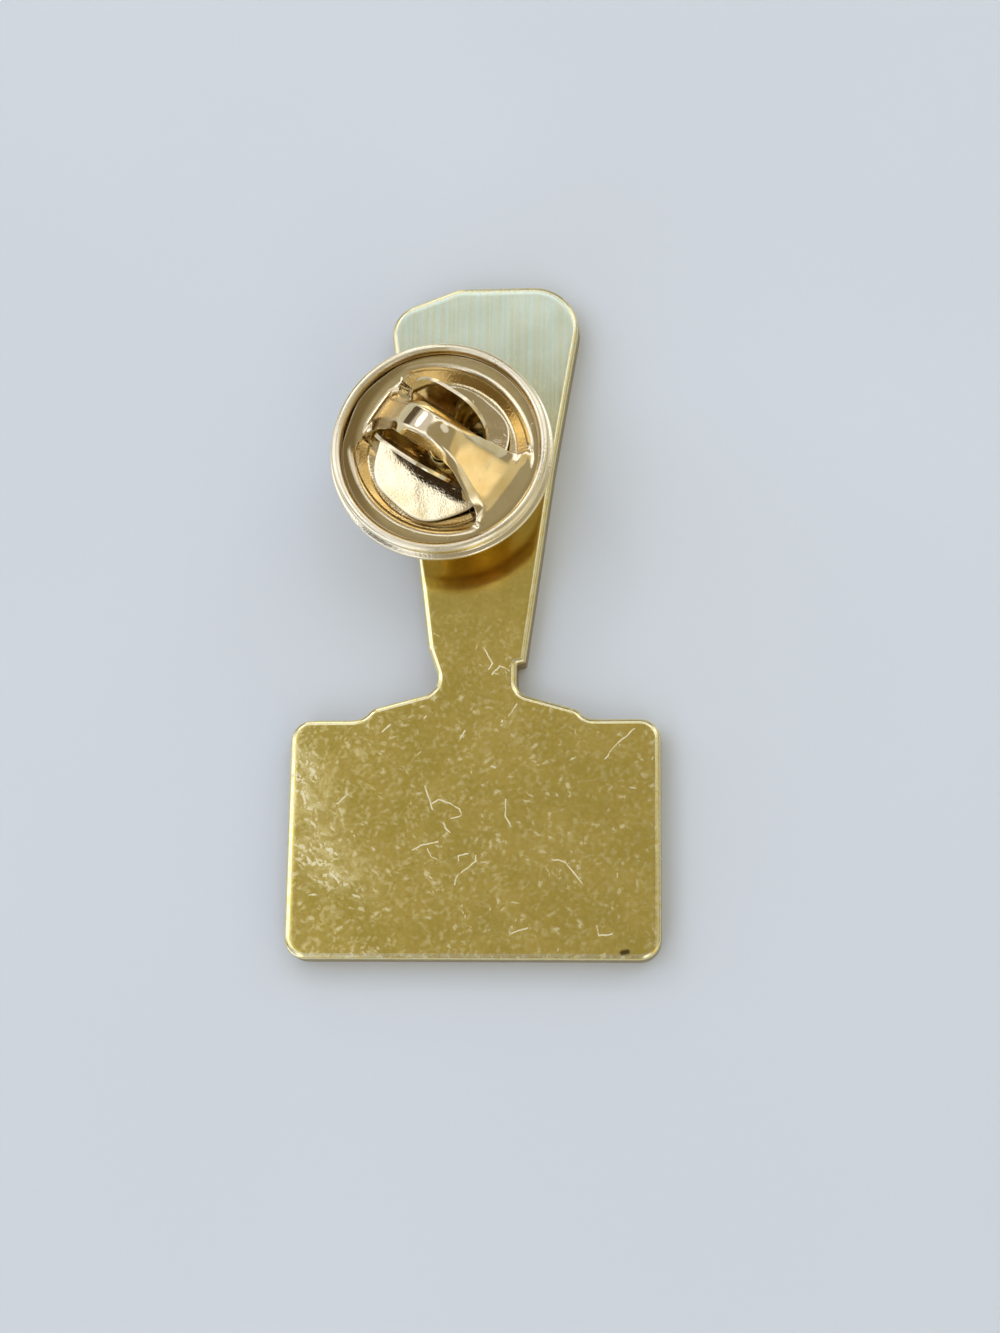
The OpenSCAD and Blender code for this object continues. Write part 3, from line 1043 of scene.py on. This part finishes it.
def plate_gold():
    """Brushed, flecked and scratched pale gold, with a painted reflection on the head, painted sheen on the
    marks, a painted highlight along the edges and painted shade on the wall.
    """
    made, tree, shader, place = material("plate gold")
    parts = tree.node("ShaderNodeSeparateXYZ", {0: place}).outputs
    back = tree.math("GREATER_THAN", parts["Z"], BACK_FROM)
    head = tree.step(parts["Y"], 3.0, 15.5, 0.12, 1.0)
    body = tree.step(parts["Y"], 4.0, -6.0, 0.15, 1.0)
    lines = tree.use(BRUSHED, "Lines", Place=place, Line_width=0.11, Line_length=9.0)
    broad = tree.use(BRUSHED, "Lines", Place=place, Line_width=0.8, Line_length=22.0)
    flecks, hair, rubbed = plate_marks(tree, place, body)
    wear_and_sheen = tree.use(EDGE_WEAR, "Mask", Place=place, Patch_size=0.5)
    marks = tree.math("MAXIMUM", tree.math("MAXIMUM", flecks, hair), rubbed)
    marks = tree.math("MULTIPLY", marks, back)
    blotch = tree.noise(place, 0.45, detail=3.0, roughness=0.6)
    mottle = tree.noise(place, 4.0, detail=2.0, roughness=0.7)
    tone = tree.math("MULTIPLY_ADD", tree.math("SUBTRACT", mottle, 0.5), 0.6, blotch)
    colour = tree.mix(tree.step(tone, 0.3, 0.7), PLATE_OLIVE, PLATE_GOLD)
    # painted reflection: where the head is brushed, its colour is painted paler to stand in for the bright
    # far side it mirrors
    brushed_and_sheen = tree.math("MULTIPLY", tree.step(lines, 0.2, 0.8, 0.8, 1.0), head)
    colour = tree.mix(tree.math("MULTIPLY", brushed_and_sheen, 0.75), colour, PLATE_PALE_SHEEN)
    # the marks are real wear, and their lighter colour is painted sheen where they catch the light
    colour = tree.mix(tree.math("MULTIPLY", marks, 0.8), colour, PLATE_MARK_SHEEN)
    # the rolled edges are painted paler: partly worn plating, partly a painted highlight along the roll
    colour = tree.mix(wear_and_sheen, colour, PLATE_WORN_SHEEN)
    # painted shade: the wall below the rolled edge is darkened to brown, and it is also made rougher
    wall = tree.step(parts["Z"], plate_t - BACK_DROP, plate_t - BACK_DROP - WALL_FADE)
    colour = tree.mix(wall, colour, WALL_PAINTED_SHADE)
    nick = tree.use(HAIRLINE, "Mask", Place=place, From=NICK[0], To=NICK[1], Width=NICK_WIDTH)
    colour = tree.mix(tree.math("MULTIPLY", nick, 0.9), colour, NICK_DARK)
    rough = tree.math("MULTIPLY_ADD", brushed_and_sheen, BRUSHED_ROUGH, PLATE_ROUGH)
    rough = tree.math("MULTIPLY_ADD", marks, MARKS_ROUGH, rough)
    rough = tree.math("MULTIPLY_ADD", wear_and_sheen, WORN_ROUGH, rough)
    rough = tree.math("MULTIPLY_ADD", wall, WALL_ROUGH, rough)
    height = tree.math("MULTIPLY", tree.use(WAVY, "Height", Place=place, Size=3.0), WAVE_HIGH)
    height = tree.math("MULTIPLY_ADD", tree.math("MULTIPLY", lines, head), LINES_HIGH, height)
    height = tree.math("MULTIPLY_ADD", tree.math("MULTIPLY", broad, head), BROAD_HIGH, height)
    height = tree.math("MULTIPLY_ADD", mottle, MOTTLE_HIGH, height)
    plated(tree, shader, colour, rough, tree.bump(PLATE_BUMP, height))
    return made


plate.data.materials.append(plate_gold())
print("plate gold has", len(plate.data.materials[0].node_tree.nodes), "nodes")

# %% [markdown]
# ## Gold of the clutch
# The clutch is plated brighter and pinker, and bought in by the thousand. It shines like a mirror,
# so its look is the room's reflection, slightly bent by stamping waves. Fine scuffs from the
# tumbler, small pits in the pressed floor and paler, rubbed edges break the shine. The bead, which
# every finger touches, is a little duller all round, and painted paler: partly wear, partly a painted
# highlight. The strap has two pale spots painted as highlights. The groove beside the bead, most on
# its left, and all that faces down are darkened to brown as painted shade.

# %% Clutch materials
CLUTCH_GOLD = (0.85, 0.70, 0.39, 1)
CLUTCH_WARM = (0.77, 0.59, 0.28, 1)
CLUTCH_PALE = (0.97, 0.89, 0.62, 1)
GROOVE_PAINTED_SHADE = (0.40, 0.27, 0.10, 1)
# radii round the post where an effect is nothing and where it is full
GROOVE = (4.75, 5.12)
CAP_EDGE = (CAP_R - 0.1, CAP_R - 0.25)
BEAD_START = (5.15, 5.3)
# how much further in the painted shade of the groove reaches on its left, and which way that is
GROOVE_LEFT = 0.5
LEFTWARDS = (-0.2, 0.04, 0)
# how worn the bead is, how much paler it is painted as a painted highlight, how pale full wear and the
# painted highlights are, and what they add to the roughness
BEAD_WORN = 0.35
BEAD_PAINTED_SHEEN = 0.6
WEAR_AND_SHEEN_PALE = 0.35
WORN_DULL = 0.24
CLUTCH_ROUGH = (0.05, 0.1)
# the bump's depth in metres, and the scuffs' height as a share of it
CLUTCH_BUMP = 0.01 * MM
SCUFF_HIGH = -0.15


def bright_gold(name, wave_size, wave_height, pits, highlight_spots=()):
    """Mirror-bright gold plating with stamping waves, painted shade in the groove and underneath, and pale
    spots painted as highlights.
    """
    made, tree, shader, place = material(name)
    from_post = tree.vector("MULTIPLY", tree.vector("SUBTRACT", place, (post_x, post_y, 0)), (1, 1, 0))
    radius = tree.vector("LENGTH", from_post, output=1)
    left = tree.step(tree.vector("DOT_PRODUCT", from_post, LEFTWARDS, output=1), 0.3, 0.98)
    reach = tree.math("MULTIPLY_ADD", left, GROOVE_LEFT, radius)
    inside = tree.math("MULTIPLY", tree.step(reach, *GROOVE), tree.step(radius, *CAP_EDGE))
    # painted shade: thin is the mask of the groove beside the bead darkened to brown, most on its left
    thin = tree.math("MULTIPLY", inside, tree.math("MULTIPLY_ADD", left, 0.6, 0.35))
    tone = tree.noise(place, 0.7, detail=2.0)
    scuffs = tree.use(FLECKS, "Mask", Place=place, Cell=0.6, Length=0.5, Width=0.03, Share=0.35)
    grain = tree.noise(place, 9.0, detail=2.0, roughness=0.6)
    colour = tree.mix(tree.step(tone, 0.35, 0.7), CLUTCH_GOLD, CLUTCH_WARM)
    # painted shade: all that faces down is darkened to brown as well
    normal = tree.node("ShaderNodeNewGeometry").outputs["Normal"]
    facing = tree.node("ShaderNodeSeparateXYZ", {0: normal}).outputs
    thin = tree.math("MAXIMUM", thin, tree.step(facing["Z"], 0.1, -0.3, 0, 0.6))
    colour = tree.mix(thin, colour, GROOVE_PAINTED_SHADE)
    wear_and_sheen = tree.math("MAXIMUM", tree.use(EDGE_WEAR, "Mask", Place=place, Patch_size=2.0), scuffs)
    # the bead is duller, and painted paler all round: partly wear, partly a painted highlight
    bead = tree.step(radius, *BEAD_START)
    wear_and_sheen = tree.math("MAXIMUM", wear_and_sheen, tree.math("MULTIPLY", bead, BEAD_WORN))
    # spots painted paler and duller, as painted highlights
    for start, end, width, strength in highlight_spots:
        spot = tree.use(HAIRLINE, "Mask", Place=place, From=start, To=end, Width=width)
        wear_and_sheen = tree.math("MAXIMUM", wear_and_sheen, tree.math("MULTIPLY", spot, strength))
    pale_wear_and_sheen = tree.math("MULTIPLY", wear_and_sheen, WEAR_AND_SHEEN_PALE, clamp=True)
    pale_wear_and_sheen = tree.math("MAXIMUM", pale_wear_and_sheen, tree.math("MULTIPLY", bead, BEAD_PAINTED_SHEEN))
    colour = tree.mix(pale_wear_and_sheen, colour, CLUTCH_PALE)
    rough = tree.math("MULTIPLY_ADD", wear_and_sheen, WORN_DULL, tree.step(tone, 0.3, 0.7, *CLUTCH_ROUGH))
    wave = tree.use(WAVY, "Height", Place=place, Size=wave_size)
    height = tree.math("MULTIPLY", wave, wave_height)
    height = tree.math("MULTIPLY_ADD", scuffs, SCUFF_HIGH, height)
    height = tree.math("MULTIPLY_ADD", tree.step(grain, 0.35, 0.75), pits, height)
    plated(tree, shader, colour, rough, tree.bump(CLUTCH_BUMP, height))
    return made


# two pale spots painted as highlights: a small one on the crest, and a broad one on the strap's left leg
STRAP_SPOTS = [
    # from and to in mm, width, strength
    ((-1.03, 7.72, 0), (-0.92, 7.56, 0), 0.22, 2.4),
    ((-4.73, 8.29, 0), (-3.28, 10.45, 0), 1.0, 0.8),
]
cap_gold = bright_gold("cap gold", wave_size=1.4, wave_height=1.8, pits=0.05, highlight_spots=STRAP_SPOTS)
dish_gold = bright_gold("dish gold", wave_size=1.8, wave_height=2.5, pits=0.25)
wing_gold = bright_gold("wing gold", wave_size=1.6, wave_height=2.5, pits=0.12)
cap.data.materials.append(cap_gold)
dish.data.materials.append(dish_gold)
for wing in (right_wing, left_wing):
    wing.data.materials.clear()
    wing.data.materials.append(wing_gold)
print("finishes so far:", [m.name for m in bpy.data.materials])

# %% [markdown]
# ## Table, light and camera
# A mirror shows its room, so the room is half of this picture. It is bright high up and greyer
# near the horizon, but dim straight above the pin and on its near side. That dim part is why the
# plate's body looks deep olive while its head, which mirrors a brighter part of the far side, looks
# pale. The room is painted on the sky: one row of a table is one soft-edged box of directions, such
# as a wall, a beam, a doorway or a window, laid over the rows before it. One lamp gives the
# sparkling spot on the strap. The table top lies a hair below the pin, so the two never share a
# plane.

# %% Table
FLOOR_HALF = 1.5
FLOOR_DROP = 0.02 * MM
floor_mesh = bpy.data.meshes.new("table_top")
floor_bm = bmesh.new()
bmesh.ops.create_grid(floor_bm, x_segments=1, y_segments=1, size=FLOOR_HALF,
                      matrix=Matrix.Translation((0, 0, -FLOOR_DROP)))
floor_bm.to_mesh(floor_mesh)
floor_bm.free()
table_top = bpy.data.objects.new("table_top", floor_mesh)
bpy.context.scene.collection.objects.link(table_top)

TABLE_WHITE = (0.765, 0.803, 0.735, 1)
TABLE_SHADE = (0.740, 0.776, 0.712, 1)
TABLE_ROUGH = 0.55
table_paint, tree, shader, place = material("table white")
cloud = tree.noise(place, 0.02, detail=2.0)
paint = tree.mix(tree.step(cloud, 0.3, 0.7), TABLE_WHITE, TABLE_SHADE)
tree.tree.links.new(paint, shader.inputs["Base Color"])
shader.inputs["Roughness"].default_value = TABLE_ROUGH
floor_mesh.materials.append(table_paint)
print("table top", 2 * FLOOR_HALF, "m wide")

# %% Room
ROOM_WHITE = (1.6, 1.74, 2.3, 1)
ROOM_LOW = (0.75, 0.72, 0.68, 1)
LOW_EDGE = (0.08, 0.34)
ANY = 100
PATCHES = [
    # name, direction of its middle, half sizes with ANY for an open side, soft edge, colour
    ("right side", (0.86, -0.2, 0.42), (0.42, 0.62, 0.62), 0.25, (0.68, 0.62, 0.47, 1)),
    ("far side", (0.2, 0.85, 0.28), (0.36, 0.26, 0.34), 0.2, (0.30, 0.27, 0.23, 1)),
    ("far left wall", (-0.5, 0.58, 0.62), (0.32, 0.3, 0.5), 0.25, (0.72, 0.74, 0.95, 1)),
    ("near left", (-0.78, -0.4, 0.42), (0.26, 0.42, 0.26), 0.25, (0.36, 0.30, 0.23, 1)),
    ("above", (0.205, -0.15, 1), (0.445, 0.37, ANY), 0.08, (0.38, 0.36, 0.31, 1)),
    ("above far side", (-0.02, 0.21, 1), (0.22, 0.19, ANY), 0.2, (0.38, 0.36, 0.31, 1)),
    ("beam on the far side", (0.06, 0.57, 1), (0.14, 0.09, ANY), 0.15, (0.34, 0.31, 0.27, 1)),
    ("dark left of the middle", (-0.47, -0.21, 1), (0.13, 0.13, ANY), 0.25, (0.04, 0.03, 0.03, 1)),
    ("near side", (-0.03, -0.7, 0.7), (0.22, 0.5, ANY), 0.2, (0.33, 0.30, 0.26, 1)),
    ("far left doorway", (-0.65, 0.75, 0.05), (0.2, 0.2, 0.35), 0.25, (0.12, 0.10, 0.09, 1)),
    ("far left window", (-0.27, 0.9, 0.33), (0.12, 0.12, 0.14), 0.2, (2.2, 2.3, 2.5, 1)),
    ("right side low", (0.97, 0.2, 0.08), (0.3, 0.36, 0.3), 0.25, (0.35, 0.32, 0.28, 1)),
    ("right side window", (0.86, -0.5, 0.06), (0.14, 0.17, 0.3), 0.35, (1.2, 1.05, 0.8, 1)),
    ("near left window", (-0.78, -0.62, 0.04), (0.3, 0.3, 0.14), 0.3, (2.6, 3.0, 4.6, 1)),
]

world = bpy.data.worlds.new("soft room")
bpy.context.scene.world = world
world.use_nodes = True
tree = Tree(world.node_tree)
direction = tree.vector("NORMALIZE", tree.node("ShaderNodeTexCoord").outputs["Generated"])
height = tree.node("ShaderNodeSeparateXYZ", {0: direction}).outputs["Z"]
room = tree.mix(tree.step(height, *LOW_EDGE), ROOM_LOW, ROOM_WHITE)
for name, middle, halves, soft, colour in PATCHES:
    apart = tree.vector("DIVIDE", tree.vector("SUBTRACT", direction, middle), halves)
    sides = tree.node("ShaderNodeSeparateXYZ", {0: tree.vector("ABSOLUTE", apart)}).outputs
    away = tree.math("MAXIMUM", tree.math("MAXIMUM", sides["X"], sides["Y"]), sides["Z"])
    share = tree.step(away, 1 + soft, 1 - soft)
    room = tree.mix(share, room, colour)
    print("room patch:", name)
tree.tree.links.new(room, world.node_tree.nodes["Background"].inputs["Color"])

# %% Lamp
LAMP_AZIMUTH = math.radians(130)
LAMP_RISE = math.radians(40)
LAMP_AWAY = 0.6
LAMP_SIZE = 0.13
LAMP_RADIANCE = 4
LAMP_COLOUR = (1, 0.97, 0.95)
CLUTCH_MIDDLE = Vector((post_x, post_y, clutch_z)) * MM

level = math.cos(LAMP_RISE)
way = Vector((math.cos(LAMP_AZIMUTH) * level, math.sin(LAMP_AZIMUTH) * level, math.sin(LAMP_RISE)))
lamp_data = bpy.data.lights.new("left lamp", "AREA")
lamp_data.shape = "DISK"
lamp_data.size = LAMP_SIZE
lamp_data.energy = LAMP_RADIANCE * math.pi * math.pi * (LAMP_SIZE / 2) ** 2
lamp_data.color = LAMP_COLOUR
lamp = bpy.data.objects.new("left lamp", lamp_data)
lamp.location = CLUTCH_MIDDLE + way * LAMP_AWAY
lamp.rotation_mode = "QUATERNION"
lamp.rotation_quaternion = way.to_track_quat("Z", "Y")
bpy.context.scene.collection.objects.link(lamp)
print(f"lamp of {lamp_data.energy:.3f} W at {[round(x, 2) for x in lamp.location]}")

# %% Camera
CAMERA_PLACE = Vector((12.492, -30.605, 117.299)) * MM
CAMERA_TURNS = (5.522, 13.363, 0.82)
FOCAL_PIXELS = 2292.783
PHOTO_LONG_SIDE = 1333
FILM_WIDTH = 36
CLIP_START = 0.005

turn_y, turn_x, turn_z = (math.radians(a) for a in CAMERA_TURNS)
camera_data = bpy.data.cameras.new("camera")
camera_data.sensor_width = FILM_WIDTH
camera_data.lens = FOCAL_PIXELS * FILM_WIDTH / PHOTO_LONG_SIDE
camera_data.clip_start = CLIP_START
camera = bpy.data.objects.new("camera", camera_data)
camera.matrix_world = (
    Matrix.Translation(CAMERA_PLACE)
    @ Matrix.Rotation(turn_y, 4, "Y")
    @ Matrix.Rotation(turn_x, 4, "X")
    @ Matrix.Rotation(turn_z, 4, "Z")
)
bpy.context.scene.collection.objects.link(camera)
bpy.context.scene.camera = camera
bpy.context.scene.view_settings.view_transform = "Standard"
print(f"lens {camera_data.lens:.2f} mm, camera {CAMERA_PLACE.z / MM:.1f} mm above the table")
